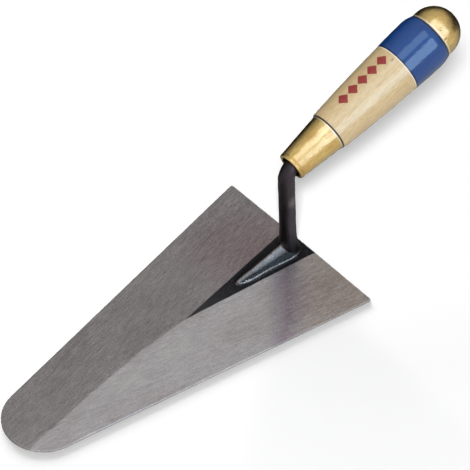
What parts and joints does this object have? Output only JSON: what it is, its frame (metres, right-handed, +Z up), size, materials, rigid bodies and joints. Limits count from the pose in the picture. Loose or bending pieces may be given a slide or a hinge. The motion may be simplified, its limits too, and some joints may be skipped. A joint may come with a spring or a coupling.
{
  "type": "brick trowel",
  "caption": "Brick trowel with a round-nosed steel blade, black forged neck and a wooden handle with brass ferrule, blue lacquer band and brass end cap.",
  "frame": {"origin": "middle of the blade's straight heel edge, on the underside", "axes": "+Y from the nose towards the handle, +Z up from the blade, +X to the right; the trowel is symmetric in X"},
  "size_m": [0.1196, 0.3378, 0.1205],
  "materials": {
    "ground_steel": "coarsely ground steel, two grinding directions, black forging scale left near the neck",
    "black_forging": "black forged steel with a thin varnish, semi-gloss",
    "weld_seam": "blackened weld bead, semi-gloss",
    "ferrule_brass": "polished brass with light stains",
    "beech": "clear-varnished beech, fine lengthwise grain",
    "blue_lacquer": "glossy royal blue lacquer",
    "cap_brass": "pressed brass, tarnished patches"
  },
  "bodies": {
    "root": {"blade": "ground_steel", "shank": "black_forging", "weld_run": "weld_seam", "ferrule": "ferrule_brass", "handle": "beech", "lacquer_band": "blue_lacquer", "end_cap": "cap_brass"}
  },
  "joints": []
}
